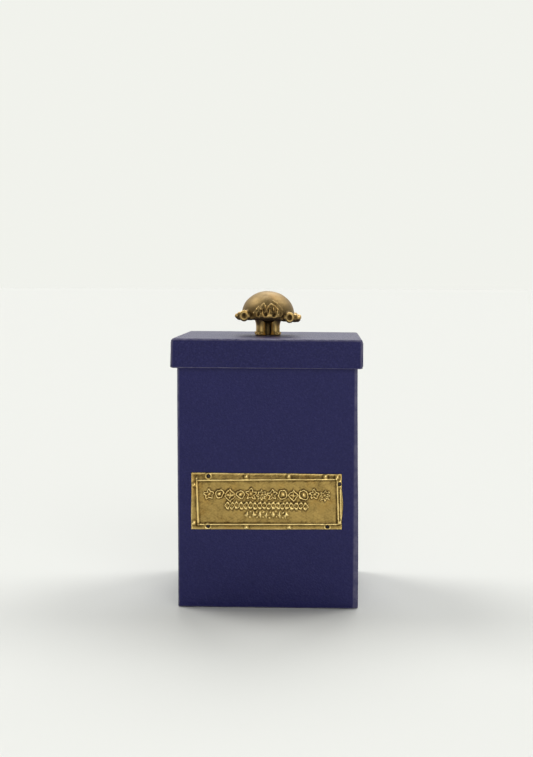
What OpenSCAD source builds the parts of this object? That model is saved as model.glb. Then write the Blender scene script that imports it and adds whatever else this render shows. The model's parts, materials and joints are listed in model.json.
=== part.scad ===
// Leather-covered talc box with a slip lid, a cast brass tortoise knob, a nailed
// brass plaque and a square tin with a rotary sifter inside.
// Frame: +Z up, origin at the centre of the base, front face towards -Y.

/* [Box] */
// Width and depth of the box over its leather
box_w = 80; // [76:0.5:84]
// Height of the box rim above the table
rim_z = 117.9; // [112:0.1:124]
// Thickness of the box's greyboard
board_t = 2; // [1.6:0.1:2.4]
// Radius of the leather over the board edges
edge_r = 1.6; // [1.2:0.1:1.8]

/* [Lid] */
// How far the lid stands out past the box on each side
overhang = 2.4; // [2.3:0.1:3.5]
// How far the skirt hangs below the lid's top
lid_h = 13; // [11:0.5:16]
// Thickness of the skirt's card
skirt_t = 1.1; // [0.8:0.1:1.2]

/* [Knob] */
// Distance of the knob from the lid's middle, to the left
knob_off = 1.1; // [0:0.1:3]
// Width of the tortoise's shell
shell_w = 24.6; // [20:0.1:26]
// Length of the tortoise's shell, front to back
shell_l = 30; // [26:0.1:34]
// Height of the post between the lid and the tortoise
post_h = 7.3; // [6.6:0.1:9]

/* [Plaque] */
// Width of the plaque
plaque_w = 67.7; // [67:0.1:70]
// Height of the plaque
plaque_h = 25.8; // [25.5:0.1:30]
// Height of the plaque's middle above the table
plaque_z = 48.3; // [40:0.1:60]

/* [Sifter] */
// Radius of each powder hole
hole_r = 0.9; // [0.6:0.05:1]
// Number of powder holes in each of the three rings
ring_count = 12; // [8:1:12]

/* [Hidden] */
$fn = 64;

// Materials' thicknesses
leather_t = 0.6;
lining_t = 0.4;
pad_t = 0.6;
eps = 0.01;

// Box: outer and inner faces of the greyboard
board_out = box_w / 2 - leather_t;
board_in = board_out - board_t;
board_lo = pad_t + leather_t;
board_hi = rim_z - leather_t;
turn_in = 10;          // leather turned down inside the rim
turn_under = 9;        // leather turned in under the base
turn_lo = board_hi - turn_in;
rim_in = board_in - leather_t;

// Lid
lid_w = box_w + 2 * overhang;
lid_gap = 0.1;         // between the lid's ceiling and the rim
ceiling_z = rim_z + lid_gap;
lid_board_z = ceiling_z + lining_t;
lid_top = lid_board_z + board_t + leather_t;
skirt_z = lid_top - lid_h;
strip_out = lid_w / 2 - leather_t;
strip_in = strip_out - skirt_t;
skirt_in = strip_in - lining_t;
skirt_turn = 5;        // leather turned up inside the skirt

// Knob fastening
screw_r = 2;
screw_l = 10;
head_r = 4;
head_h = 2.4;
washer_r = 6;
washer_t = 0.8;
bore_depth = 6.4;
cap_z = lid_top + post_h;

// Plaque and its pins
plaque_x = 0.1;
plaque_t = 0.5;
face_y = -box_w / 2;
pin_r = 0.45;
pin_l = 2.4;
pin_head_r = 0.8;
// Places of the pins and of the round bosses, from the plaque's middle
pin_places = [[-26, 11.3], [-26.2, -11.2], [27.2, -11], [32.6, 8.2]];
boss_places = [
    [-9.1, 11.2], [9.9, 11.4], [26.2, 11.5], [31.4, 11.2], [-32.3, 7.4],
    [-32.5, -9.9], [-9, -11.7], [10.1, -11.5], [32.6, -9]
];
boss_r = 0.8;
frame_x = plaque_w / 2 - 3.3;   // raised frame line, half width
frame_z = plaque_h / 2 - 3.3;   // raised frame line, half height
frame_r = 0.45;

// Tin
tin_half = 36.3;       // over the seams
seam_t = 0.6;
tin_wall = 0.4;
tin_lo = board_lo + board_t + lining_t;
tin_r = 5;
tin_shoulder = 104.1;  // top end of the tin's wall
plate_t = 0.5;
neck_r = 29.43;
neck_t = 0.8;
neck_h = 1.8;
tin_out = tin_half - seam_t;

// Sifter and its dial
sift_r = 29.4;
sift_z = tin_shoulder + plate_t + 0.3;
sift_t = 0.5;
cup_t = 0.5;
dial_r = 27.8;
dial_z = sift_z + sift_t + 0.2;
dial_t = 0.6;
ring_radii = [9.5, 14, 18.5];
dial_turn = 180 / ring_count;   // half a pitch, from closed to open
rivet_r = 1.5;
stop_r = 23.5;         // the stop pin's distance from the axis
stop_pin_r = 0.8;
slot_r = 1;

module rounded_square(w, d, r) {
    square([w, d - 2 * r], center = true);
    square([w - 2 * r, d], center = true);
    for (x = [-1, 1], y = [-1, 1])
        translate([x * (w / 2 - r), y * (d / 2 - r)]) circle(r);
}

module slab(half, lo, hi, r = 0) {
    translate([0, 0, lo]) linear_extrude(hi - lo) {
        if (r > 0) rounded_square(2 * half, 2 * half, r);
        else square(2 * half, center = true);
    }
}

// A square block whose twelve edges are all rounded
module soft_block(half, lo, hi, r) {
    h = hi - lo;
    intersection() {
        slab(half, lo, hi, r);
        translate([0, half, (lo + hi) / 2]) rotate([90, 0, 0])
            linear_extrude(2 * half) rounded_square(2 * half, h, r);
        translate([-half, 0, (lo + hi) / 2]) rotate([90, 0, 90])
            linear_extrude(2 * half) rounded_square(2 * half, h, r);
    }
}

module square_ring(outer, inner, lo, hi) {
    difference() {
        slab(outer, lo, hi);
        slab(inner, lo - eps, hi + eps);
    }
}

module round_ring(outer, inner, lo, hi) {
    translate([0, 0, lo]) difference() {
        cylinder(r = outer, h = hi - lo);
        translate([0, 0, -eps]) cylinder(r = inner, h = hi - lo + 2 * eps);
    }
}

// ---- Box ----

module base_pad() {
    color("#28284a") slab(box_w / 2 - 2, 0, pad_t, 2);
}

module base_infill() {
    color("#b9a98c") slab(box_w / 2 - turn_under - 0.5, pad_t, board_lo);
}

module box_envelope() {
    soft_block(board_out, board_lo, board_hi, edge_r - leather_t);
}

module base_board() {
    color("#b9a98c") slab(board_in, board_lo, board_lo + board_t);
}

// Holes for the plaque's pins, from y_lo to y_hi behind the box's front face
module pin_holes(y_lo, y_hi) {
    for (p = pin_places)
        translate([plaque_x + p[0], face_y + y_lo, plaque_z + p[1]]) rotate([-90, 0, 0])
            cylinder(r = pin_r + 0.02, h = y_hi - y_lo);
}

module long_wall(side) {
    color("#b9a98c") difference() {
        intersection() {
            box_envelope();
            translate([-box_w / 2, side > 0 ? board_in : -board_out, 0])
                cube([box_w, board_t, rim_z]);
        }
        if (side < 0) pin_holes(0, pin_l - plaque_t + 0.05);
    }
}

module short_wall(side) {
    color("#b9a98c") intersection() {
        box_envelope();
        translate([side > 0 ? board_in : -board_out, -board_in, 0])
            cube([board_t, 2 * board_in, rim_z]);
    }
}

module body_leather() {
    color("#2c2c50") difference() {
        union() {
            difference() {
                soft_block(box_w / 2, pad_t, rim_z, edge_r);
                box_envelope();
                slab(rim_in, board_hi - 1, rim_z + 1);
            }
            square_ring(board_in, rim_in, turn_lo, rim_z - leather_t / 2);
        }
        slab(box_w / 2 - turn_under, 0, board_lo + eps);
        pin_holes(-1, leather_t + eps);
    }
}

module wall_lining() {
    color("#8a6a45")
        square_ring(board_in, board_in - lining_t, tin_lo, turn_lo - 0.1);
}

module floor_lining() {
    color("#8a6a45") slab(board_in - 0.1, tin_lo - lining_t, tin_lo);
}

// ---- Plaque ----

module frame_line(length, place, upright) {
    translate([plaque_x + place[0], face_y - plaque_t, plaque_z + place[1]])
        rotate(upright ? [0, 0, 0] : [0, 90, 0])
            cylinder(r = frame_r, h = length, center = true);
}

// Ornament of one row: outlined diamonds and rings in turn
module ornament_row(count, pitch, size, z) {
    for (i = [0 : count - 1])
        translate([plaque_x + (i - (count - 1) / 2) * pitch, face_y - plaque_t + eps, z])
            rotate([90, 0, 0]) difference() {
                cylinder(r = size, h = 0.35, $fn = i % 2 == 0 ? 4 : 24);
                translate([0, 0, -eps])
                    cylinder(r = size * 0.62, h = 1, $fn = i % 2 == 0 ? 4 : 24);
            }
}

module plaque() {
    color("#9a8148") difference() {
        union() {
            translate([plaque_x - plaque_w / 2, face_y - plaque_t, plaque_z - plaque_h / 2])
                cube([plaque_w, plaque_t, plaque_h]);
            intersection() {
                translate([plaque_x - plaque_w / 2, face_y - 2, plaque_z - plaque_h / 2])
                    cube([plaque_w, 2, plaque_h]);
                union() {
                    for (z = [-frame_z, frame_z]) frame_line(2 * frame_x, [0, z], false);
                    for (x = [-frame_x, frame_x]) frame_line(2 * frame_z + 2, [x, 0], true);
                    for (b = boss_places)
                        translate([plaque_x + b[0], face_y - plaque_t, plaque_z + b[1]])
                            sphere(boss_r, $fn = 24);
                }
            }
            ornament_row(12, 4.87, 2.3, plaque_z + 3.2);
            ornament_row(11, 3.5, 1.6, plaque_z - 1.9);
            ornament_row(5, 3.8, 1.6, plaque_z - 5.8);
        }
        pin_holes(-2, 1);
        // The raised lines stop short of the pins' heads
        for (p = pin_places)
            translate([plaque_x + p[0], face_y - 2, plaque_z + p[1]]) rotate([-90, 0, 0])
                cylinder(r = pin_head_r + 0.15, h = 2 - plaque_t);
    }
}

module plaque_pins() {
    color("#2b2724")
        for (p = pin_places)
            translate([plaque_x + p[0], face_y - plaque_t, plaque_z + p[1]]) rotate([-90, 0, 0]) {
                cylinder(r = pin_r, h = pin_l);
                translate([0, 0, -0.4]) cylinder(r1 = pin_head_r * 0.6, r2 = pin_head_r, h = 0.4);
            }
}

// ---- Tin ----

module tin_base() {
    color("#b8b6ae") difference() {
        slab(tin_half, tin_lo, tin_lo + 2.8, tin_r + seam_t);
        slab(tin_out, tin_lo + plate_t, tin_lo + 3, tin_r);
    }
}

module tin_body() {
    color("#c4c2ba") {
        difference() {
            slab(tin_out, tin_lo + plate_t, tin_shoulder, tin_r);
            slab(tin_out - tin_wall, tin_lo, tin_shoulder + 1, tin_r - tin_wall);
        }
        // Lock seam, folded flat inside the back
        translate([-2.5, tin_out - tin_wall - 0.7, tin_lo + plate_t])
            cube([5, 0.7 + tin_wall / 2, tin_shoulder - tin_lo - plate_t]);
    }
}

module tin_top() {
    color("#b8b6ae") {
        difference() {
            slab(tin_half, tin_shoulder - 2.3, tin_shoulder + plate_t, tin_r + seam_t);
            slab(tin_out, tin_shoulder - 3, tin_shoulder, tin_r);
            translate([0, 0, tin_shoulder - 1]) cylinder(r = neck_r, h = 3);
        }
        round_ring(neck_r + neck_t, neck_r, tin_shoulder + plate_t / 2,
            tin_shoulder + plate_t + neck_h);
    }
}

// Rings of powder holes, turned by an angle
module powder_holes(angle, lo, hi) {
    for (r = ring_radii, i = [0 : ring_count - 1])
        rotate([0, 0, angle + i * 360 / ring_count])
            translate([r, 0, lo]) cylinder(r = hole_r, h = hi - lo, $fn = 24);
}

// A shallow cup that hangs in the neck by its rim and lifts out for filling
module sifter() {
    top = tin_shoulder + plate_t + neck_h + 0.05;
    color("#c9a95a") difference() {
        union() {
            translate([0, 0, sift_z]) cylinder(r = sift_r, h = sift_t);
            round_ring(sift_r, sift_r - cup_t, sift_z + sift_t / 2, top + cup_t);
            round_ring(neck_r + neck_t + 0.5, sift_r - cup_t, top, top + cup_t);
        }
        powder_holes(dial_turn, sift_z - 1, sift_z + 1);
        translate([0, 0, sift_z - 1]) cylinder(r = rivet_r + 0.01, h = 3);
        translate([0, stop_r, sift_z - 1]) cylinder(r = stop_pin_r + 0.01, h = 3);
    }
}

module stop_pin() {
    color("#c9a95a") translate([0, stop_r, 0]) {
        translate([0, 0, sift_z - 0.4]) cylinder(r = stop_pin_r, h = dial_z + dial_t + 0.2 - sift_z + 0.4);
        translate([0, 0, sift_z - 0.6]) cylinder(r = stop_pin_r + 0.5, h = 0.6);
        translate([0, 0, dial_z + dial_t + 0.15]) cylinder(r = stop_pin_r + 0.6, h = 0.4);
    }
}

module dial_rivet() {
    color("#c9a95a") {
        translate([0, 0, sift_z - 0.4]) cylinder(r = rivet_r, h = dial_z + dial_t + 0.6 - sift_z);
        translate([0, 0, sift_z - 0.6]) cylinder(r = rivet_r + 1.2, h = 0.6);
        translate([0, 0, dial_z + dial_t + 0.15]) intersection() {
            cylinder(r = 3.2, h = 1);
            translate([0, 0, -4.9]) sphere(5.9);
        }
    }
}

// The slot lets the stop pin pass over dial_turn degrees
module stop_slot() {
    translate([0, 0, dial_z - 1]) {
        rotate([0, 0, 90 - dial_turn]) rotate_extrude(angle = dial_turn)
            translate([stop_r - slot_r, 0]) square([2 * slot_r, 3]);
        for (a = [90 - dial_turn, 90])
            rotate([0, 0, a]) translate([stop_r, 0, 0]) cylinder(r = slot_r + 0.05, h = 3);
    }
}

module sifter_dial() {
    color("#d0b060") {
        difference() {
            translate([0, 0, dial_z]) cylinder(r = dial_r, h = dial_t);
            powder_holes(0, dial_z - 1, dial_z + 2);
            translate([0, 0, dial_z - 1]) cylinder(r = rivet_r + 0.06, h = 3);
            stop_slot();
        }
        // Finger grip
        translate([-6, -24.2, dial_z + dial_t / 2]) cube([12, 1.4, 2.6]);
        for (x = [-6, 6])
            translate([x, -23.5, dial_z + dial_t / 2]) cylinder(r = 1, h = 2.6);
    }
}

// ---- Lid ----

module lid_envelope() {
    soft_block(strip_out, skirt_z + leather_t, lid_top - leather_t, edge_r - leather_t);
}

module screw_hole(r) {
    translate([-knob_off, 0, ceiling_z - 1]) cylinder(r = r, h = 10);
}

module lid_board() {
    color("#b9a98c") difference() {
        intersection() {
            lid_envelope();
            slab(strip_out + 1, lid_board_z, lid_top);
        }
        screw_hole(screw_r + 0.2);
    }
}

module lid_long_strip(side) {
    color("#b9a98c") intersection() {
        lid_envelope();
        translate([-lid_w / 2, side > 0 ? strip_in : -strip_out, 0])
            cube([lid_w, skirt_t, lid_board_z]);
    }
}

module lid_short_strip(side) {
    color("#b9a98c") intersection() {
        lid_envelope();
        translate([side > 0 ? strip_in : -strip_out, -strip_in, 0])
            cube([skirt_t, 2 * strip_in, lid_board_z]);
    }
}

module lid_leather() {
    color("#2c2c50") difference() {
        union() {
            difference() {
                soft_block(lid_w / 2, skirt_z, lid_top, edge_r);
                lid_envelope();
                slab(skirt_in, skirt_z - 1, skirt_z + leather_t + 1);
            }
            square_ring(strip_in, skirt_in, skirt_z + leather_t / 2, skirt_z + leather_t + skirt_turn);
        }
        screw_hole(screw_r + 0.2);
    }
}

module lid_skirt_lining() {
    color("#8a6a45")
        square_ring(strip_in, skirt_in, skirt_z + leather_t + skirt_turn + 0.1, ceiling_z);
}

module lid_ceiling_lining() {
    color("#8a6a45") difference() {
        slab(strip_in, ceiling_z, lid_board_z);
        screw_hole(screw_r + 0.2);
    }
}

// ---- Knob ----

// Four round lobes round a core: a clustered column
module column(lobe_r, offset, core_r, lo, hi) {
    translate([0, 0, lo]) {
        cylinder(r = core_r, h = hi - lo);
        for (x = [-1, 1], y = [-1, 1])
            translate([x * offset, y * offset, 0]) cylinder(r = lobe_r, h = hi - lo);
    }
}

module knob_post() {
    color("#8f7440") translate([-knob_off, 0, 0]) difference() {
        union() {
            column(3.1, 2.5, 3.4, lid_top, lid_top + 1);
            column(2.5, 2.75, 3.4, lid_top, cap_z);
            translate([0, 0, cap_z - 1.6]) cylinder(r1 = 4.2, r2 = 5.9, h = 1.6);
        }
        translate([0, 0, lid_top - 1]) cylinder(r = screw_r + 0.03, h = bore_depth + 1);
    }
}

module knob_screw() {
    under = ceiling_z - washer_t;
    color("#9b9b98") translate([-knob_off, 0, 0]) difference() {
        union() {
            translate([0, 0, under]) cylinder(r = screw_r, h = screw_l);
            translate([0, 0, under - head_h]) cylinder(r = head_r, h = head_h);
        }
        // Screwdriver slot
        translate([-head_r - 1, -0.5, under - head_h - 1]) cube([2 * head_r + 2, 1, 2.1]);
    }
}

module knob_washer() {
    color("#9b9b98") translate([-knob_off, 0, 0])
        round_ring(washer_r, screw_r + 0.15, ceiling_z - washer_t, ceiling_z);
}

// One foot: a leg that lies along the base, with a toe to each side of its end
module foot(side) {
    leg = side * (shell_w / 2 + 0.1);
    hull()
        for (y = [-4, 4]) translate([leg, y, 1.4]) sphere(2, $fn = 20);
    for (toe = [-3.2, 3.2])
        hull()
            for (x = [leg, leg + toe]) translate([x, -3.8, 1.1]) sphere(1.2, $fn = 16);
}

module knob_tortoise() {
    shell_mid = 4;     // height of the shell's widest line above its base
    shell_top = 13.4;
    color("#9a7f46") translate([-knob_off, 0, cap_z]) {
        // Shell: half an ellipsoid over a short oval wall
        hull() {
            translate([0, 0, shell_mid])
                scale([shell_w / 2, shell_l / 2, shell_top - shell_mid]) intersection() {
                    sphere(1, $fn = 36);
                    translate([-1, -1, 0]) cube([2, 2, 1]);
                }
            scale([shell_w / 2, shell_l / 2, 1]) cylinder(r = 0.97, h = shell_mid, $fn = 36);
        }
        for (side = [-1, 1], end = [0, 1])
            mirror([0, end, 0]) translate([0, -shell_l / 2 + 5.5, 0]) foot(side);
        // Head and tail
        hull()
            for (y = [0, 4]) translate([0, -shell_l / 2 + 0.8 + y, 3.4]) sphere(3.2, $fn = 24);
        hull() {
            translate([0, shell_l / 2 - 2, 1.6]) sphere(1.5, $fn = 16);
            translate([0, shell_l / 2 + 2, 1.6]) sphere(0.6, $fn = 16);
        }
    }
}

base_pad();
base_infill();
base_board();
long_wall(-1);  // front_wall
long_wall(1);  // back_wall
short_wall(-1);  // left_wall
short_wall(1);  // right_wall
body_leather();
wall_lining();
floor_lining();
plaque();
plaque_pins();
tin_base();
tin_body();
tin_top();
sifter();
stop_pin();
dial_rivet();
sifter_dial();
lid_board();
lid_long_strip(-1);  // lid_front_strip
lid_long_strip(1);  // lid_back_strip
lid_short_strip(-1);  // lid_left_strip
lid_short_strip(1);  // lid_right_strip
lid_leather();
lid_ceiling_lining();
lid_skirt_lining();
knob_post();
knob_tortoise();
knob_screw();
knob_washer();
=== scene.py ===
"""A leather-covered talc box with a brass tortoise on its lid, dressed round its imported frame.

Shapes are worked out in millimetres and turned into metres when a mesh is made.
"""
import json
import math

import bpy
import numpy as np
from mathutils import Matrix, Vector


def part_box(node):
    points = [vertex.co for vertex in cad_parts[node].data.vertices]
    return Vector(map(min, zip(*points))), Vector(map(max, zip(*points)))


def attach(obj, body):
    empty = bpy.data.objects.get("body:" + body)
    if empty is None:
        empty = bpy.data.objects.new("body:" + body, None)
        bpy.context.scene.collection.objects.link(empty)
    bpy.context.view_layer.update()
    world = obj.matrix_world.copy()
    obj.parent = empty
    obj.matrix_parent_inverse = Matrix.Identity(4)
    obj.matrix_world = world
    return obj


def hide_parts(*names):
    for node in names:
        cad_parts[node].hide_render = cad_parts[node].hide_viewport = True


MM = 0.001
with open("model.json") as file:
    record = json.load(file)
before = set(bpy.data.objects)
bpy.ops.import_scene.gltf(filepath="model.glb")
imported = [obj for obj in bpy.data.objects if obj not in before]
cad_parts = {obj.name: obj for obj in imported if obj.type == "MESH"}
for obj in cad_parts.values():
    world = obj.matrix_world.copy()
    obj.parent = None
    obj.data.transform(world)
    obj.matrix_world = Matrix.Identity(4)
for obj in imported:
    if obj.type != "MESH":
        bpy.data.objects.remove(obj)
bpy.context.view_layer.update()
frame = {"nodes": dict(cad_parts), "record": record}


def span(node):
    """A CAD node's lowest and highest corners, in millimetres."""
    low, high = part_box(node)
    return np.array(low) / MM, np.array(high) / MM


# ---------------------------------------------------------------- measures, from the frame

BODY_LO, BODY_HI = span("body_leather")
LID_LO, LID_HI = span("lid_leather")
PLAQUE_LO, PLAQUE_HI = span("plaque")
POST_LO, POST_HI = span("knob_post")
WALL_HI = span("front_wall")[1]
STRIP_LO = span("lid_front_strip")[0]
INFILL_HI = span("base_infill")[1]
LINING_HI = span("wall_lining")[1]
SKIRT_LINING_LO = span("lid_skirt_lining")[0]

HIDE = BODY_HI[0] - WALL_HI[0]              # the leather's thickness
BODY_HALF = BODY_HI[0]
LID_HALF = LID_HI[0]
LID_TOP = LID_HI[2]
KNOB_X = (POST_LO[0] + POST_HI[0]) / 2
FACE_Y = BODY_LO[1]


# ---------------------------------------------------------------- node trees

ASKEW = (0.5, 0.8, 0.35)                    # a turn that keeps noise from lining up with a flat face


class Tree:
    """Adds nodes to a tree: each call takes the inputs, as values or links, and the node's settings."""

    def __init__(self, tree):
        self.tree = tree

    def __call__(self, kind, inputs=None, **settings):
        node = self.tree.nodes.new(kind)
        for name, value in settings.items():
            setattr(node, name, value)
        for key, value in (inputs or {}).items():
            self.feed(node.inputs[key], value)
        return node

    def feed(self, socket, value):
        if isinstance(value, bpy.types.Node):
            value = value.outputs[0]
        if isinstance(value, bpy.types.NodeSocket):
            self.tree.links.new(value, socket)
        else:
            socket.default_value = value

    def math(self, how, a, b=0.0):
        return self("ShaderNodeMath", {0: a, 1: b}, operation=how).outputs[0]


class Finish(Tree):
    """One material. Colours are linear; the patterns read Object coordinates, in metres."""

    def __init__(self, name):
        self.material = bpy.data.materials.new(name)
        self.material.use_nodes = True
        super().__init__(self.material.node_tree)
        self.shader = self.tree.nodes["Principled BSDF"]
        self.place = self("ShaderNodeTexCoord").outputs["Object"]
        self.askew = self.stretched((1, 1, 1), ASKEW)

    def stretched(self, scale, turn=(0, 0, 0)):
        """The piece's own places, scaled and turned."""
        mapping = self("ShaderNodeMapping", {"Vector": self.place})
        mapping.inputs["Scale"].default_value = scale
        mapping.inputs["Rotation"].default_value = turn
        return mapping

    def noise(self, size, detail=3.0, rough=0.5, at=None):
        """Noise whose blots are about size millimetres across."""
        return self("ShaderNodeTexNoise", {"Vector": at or self.askew, "Scale": 1 / (size * MM),
                                           "Detail": detail, "Roughness": rough}).outputs["Fac"]

    def cells(self, size):
        """Soft-edged cells about size millimetres across."""
        return self("ShaderNodeTexVoronoi", {"Vector": self.askew, "Scale": 1 / (size * MM)},
                    feature="SMOOTH_F1").outputs["Distance"]

    def attribute(self, name):
        return self("ShaderNodeAttribute", attribute_name=name).outputs["Fac"]

    def ramp(self, value, low, high, to_low=0.0, to_high=1.0):
        return self("ShaderNodeMapRange", {"Value": value, "From Min": low, "From Max": high,
                                           "To Min": to_low, "To Max": to_high},
                    interpolation_type="SMOOTHSTEP").outputs[0]

    def mix(self, amount, a, b, how="MIX"):
        node = self("ShaderNodeMix", {0: amount}, data_type="RGBA", blend_type=how)
        for index, value in ((6, a), (7, b)):
            self.feed(node.inputs[index], value if isinstance(value, bpy.types.NodeSocket) else (*value, 1))
        return node.outputs[2]

    def bump(self, height, depth, strength=1.0, after=None):
        """A bump whose height of 1 stands depth millimetres."""
        node = self("ShaderNodeBump", {"Height": height, "Strength": strength, "Distance": depth * MM})
        if after:
            self.feed(node.inputs["Normal"], after)
        return node.outputs[0]

    def surface(self, colour, roughness, normal=None, **constants):
        self.feed(self.shader.inputs["Base Color"],
                  colour if isinstance(colour, bpy.types.NodeSocket) else (*colour, 1))
        self.feed(self.shader.inputs["Roughness"], roughness)
        if normal:
            self.feed(self.shader.inputs["Normal"], normal)
        for name, value in constants.items():
            self.shader.inputs[name.replace("_", " ")].default_value = value
        return self.material


# ---------------------------------------------------------------- finishes

def leather(name, grain=1.0, bloom=0.0):
    """Indigo leather with a fine pebble grain, paler along its edges: partly worn, partly a painted highlight
    on the rounded edges.
    """
    f = Finish(name)
    pebbles = f.cells(0.7)
    creases = f.noise(0.4, 4, 0.6)
    drift = f.noise(17, 3, 0.55)
    mottle = f.noise(1.3, 4, 0.65)
    colour = f.mix(f.ramp(drift, 0.3, 0.7), (0.0185, 0.0182, 0.100), (0.0205, 0.0200, 0.108))
    colour = f.mix(f.ramp(mottle, 0.3, 0.75, 0.0, 0.3 * grain), colour, (0.0105, 0.010, 0.068))
    speckle = f.noise(0.75, 3, 0.7)
    colour = f.mix(f.ramp(speckle, 0.34, 0.66, 0.0, 0.42 * grain), colour, (0.006, 0.006, 0.055))
    flecks = f.noise(0.9, 2, 0.6, f.place)
    colour = f.mix(f.ramp(flecks, 0.5, 0.72, 0.0, 0.25 * grain), colour, (0.05, 0.05, 0.17))
    # Paler edges: partly worn leather, partly a painted highlight on the rounded edges.
    rubbed = f.math("MULTIPLY", f.attribute("wear"), f.ramp(f.noise(3.5, 4, 0.6), 0.3, 0.7, 0.45, 1.0))
    colour = f.mix(f.math("MULTIPLY", rubbed, 0.8), colour, (0.15, 0.14, 0.22))
    height = f.math("ADD", f.math("MULTIPLY", pebbles, 0.8), f.math("MULTIPLY", creases, 0.5))
    normal = f.bump(f.noise(11, 2), 0.02, 0.5)
    normal = f.bump(height, 0.2 * grain, 1.0, normal)
    roughness = f.ramp(mottle, 0.3, 0.7, 0.36, 0.40)
    return f.surface(colour, roughness, normal, Specular_IOR_Level=0.2, Sheen_Weight=bloom,
                     Sheen_Roughness=0.35, Sheen_Tint=(1.0, 0.80, 0.36, 1.0))


def brass(name, bright, middle, dark, roughness, scratch=0.0):
    """Old brass: bright where it stands proud and is handled, dark where dirt stays in the hollows and where
    painted shade is folded into its proud level.
    """
    f = Finish(name)
    # proud: patina and polish from the relief, plus painted shade under the tortoise, in the post's core and
    # along the plaque's top.
    proud = f.attribute("proud")
    blots = f.noise(2.6, 5, 0.62)
    specks = f.noise(0.55, 3, 0.6)
    level = f.math("ADD", proud, f.math("MULTIPLY", f.math("SUBTRACT", blots, 0.5), 0.5))
    level = f.math("ADD", level, f.math("MULTIPLY", f.math("SUBTRACT", specks, 0.5), 0.25))
    colour = f.mix(f.ramp(level, 0.02, 0.46), dark, middle)
    colour = f.mix(f.ramp(level, 0.5, 0.92), colour, bright)
    amber = f.ramp(f.noise(9, 3, 0.6), 0.52, 0.72, 0.0, 0.45)
    colour = f.mix(amber, colour, (1.0, 0.80, 0.52), "MULTIPLY")
    olive = f.ramp(f.noise(6, 3, 0.6), 0.58, 0.78, 0.0, 0.35)
    colour = f.mix(olive, colour, (0.72, 0.76, 0.62), "MULTIPLY")
    brushed = f.noise(1.0, 3, 0.5, f.stretched((0.06, 1, 2.6)))
    height = f.math("ADD", f.math("MULTIPLY", specks, 0.6), f.math("MULTIPLY", brushed, scratch))
    normal = f.bump(f.noise(1.7, 2), 0.10, 0.5)
    normal = f.bump(height, 0.018, 0.6, normal)
    rough = f.ramp(level, 0.1, 0.9, roughness + 0.22, roughness)
    return f.surface(colour, rough, normal, Metallic=1.0)


def greyboard():
    f = Finish("bookbinder_board")
    fibre = f.noise(0.9, 5, 0.7, f.stretched((0.35, 1, 1)))
    colour = f.mix(f.ramp(fibre, 0.3, 0.7), (0.30, 0.255, 0.19), (0.42, 0.365, 0.28))
    return f.surface(colour, 0.93, f.bump(fibre, 0.05, 0.6))


def suede():
    """Tan suede-finish lining with a soft nap that lies in drifts."""
    f = Finish("suede_lining")
    nap = f.noise(0.35, 4, 0.7)
    drifts = f.noise(11, 3, 0.5)
    colour = f.mix(f.ramp(drifts, 0.3, 0.7), (0.255, 0.145, 0.07), (0.36, 0.22, 0.115))
    colour = f.mix(f.ramp(nap, 0.35, 0.75, 0.0, 0.35), colour, (0.17, 0.095, 0.045))
    return f.surface(colour, 0.95, f.bump(nap, 0.06, 0.7), Sheen_Weight=0.35, Sheen_Roughness=0.4)


def felt():
    f = Finish("base_felt")
    fuzz = f.noise(0.4, 5, 0.75)
    colour = f.mix(f.ramp(fuzz, 0.3, 0.7), (0.012, 0.012, 0.03), (0.035, 0.035, 0.065))
    return f.surface(colour, 0.97, f.bump(fuzz, 0.12, 0.8), Sheen_Weight=0.3)


def tinplate():
    """Dull tinned steel with a faint crystal pattern and a few rust freckles."""
    f = Finish("tinplate")
    crystal = f("ShaderNodeTexVoronoi", {"Vector": f.place, "Scale": 1 / (7 * MM)}).outputs["Color"]
    tone = f("ShaderNodeSeparateColor", {0: crystal}).outputs[0]
    cloud = f.noise(12, 4, 0.6)
    colour = f.mix(f.math("MULTIPLY", tone, 0.35), (0.50, 0.49, 0.455), (0.62, 0.61, 0.58))
    colour = f.mix(f.ramp(cloud, 0.45, 0.8, 0.0, 0.5), colour, (0.36, 0.35, 0.32))
    rust = f.ramp(f.noise(1.4, 5, 0.7), 0.69, 0.76)
    colour = f.mix(rust, colour, (0.19, 0.085, 0.035))
    brushed = f.noise(0.5, 3, 0.5, f.stretched((1, 1, 0.05)))
    rough = f.math("ADD", f.ramp(cloud, 0.3, 0.7, 0.27, 0.42), f.math("MULTIPLY", tone, 0.08))
    return f.surface(colour, rough, f.bump(brushed, 0.01, 0.5), Metallic=0.95)


def gilt():
    """Thin gilt sheet, spun: its fine marks run round the axis."""
    f = Finish("sifter_gilt")
    split = f("ShaderNodeSeparateXYZ", {0: f.place})
    radius = f.math("SQRT", f.math("ADD", f.math("MULTIPLY", split.outputs[0], split.outputs[0]),
                                   f.math("MULTIPLY", split.outputs[1], split.outputs[1])))
    turned = f("ShaderNodeTexNoise", {"W": f.math("MULTIPLY", radius, 1 / (0.35 * MM)), "Detail": 2.0,
                                      "Scale": 1.0}, noise_dimensions="1D").outputs[0]
    cloud = f.noise(6, 4, 0.6)
    colour = f.mix(f.ramp(cloud, 0.3, 0.75), (0.50, 0.36, 0.155), (0.37, 0.26, 0.105))
    return f.surface(colour, f.ramp(cloud, 0.3, 0.7, 0.24, 0.38), f.bump(turned, 0.012, 0.6), Metallic=1.0)


def steel(name, pale, deep, roughness):
    f = Finish(name)
    cloud = f.noise(0.9, 4, 0.65)
    colour = f.mix(f.ramp(cloud, 0.3, 0.7), pale, deep)
    return f.surface(colour, f.ramp(cloud, 0.3, 0.7, roughness, roughness + 0.18),
                     f.bump(f.noise(0.25, 3), 0.012, 0.6), Metallic=1.0)


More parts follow.
